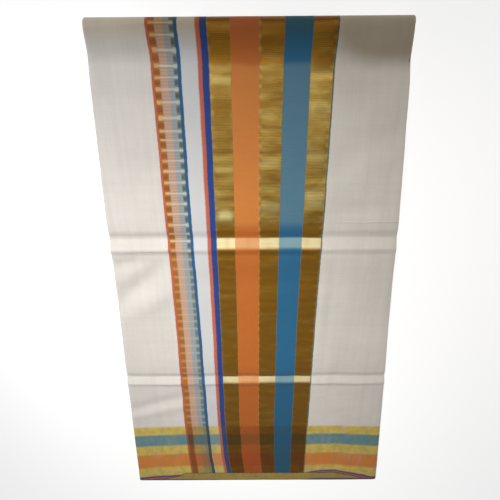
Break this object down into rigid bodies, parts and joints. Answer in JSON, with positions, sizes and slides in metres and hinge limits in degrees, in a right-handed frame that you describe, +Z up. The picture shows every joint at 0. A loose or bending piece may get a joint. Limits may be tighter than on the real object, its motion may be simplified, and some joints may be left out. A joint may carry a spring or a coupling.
{
  "type": "folded saree",
  "caption": "Cotton saree folded flat into a long pile, its gold, orange and blue bands on top and the last quarter turned under.",
  "frame": {"origin": "middle of the underside, on the surface that the folded saree lies on", "axes": "+X along the cloth's length, to the right when the near fold is away from the viewer; +Y from the far selvedge to the near fold; +Z up, out of the top layer"},
  "size_m": [0.552, 0.934, 0.016],
  "materials": {
    "top_cloth": "matt off-white cotton with woven zari bands",
    "border_cloth": "gold zari border woven in cotton",
    "inner_cloth": "matt off-white cotton, folds of the same cloth"
  },
  "bodies": {
    "root": {"pallu_panel": "top_cloth", "border_underlap": "border_cloth", "folded_layers": "inner_cloth"}
  },
  "joints": []
}
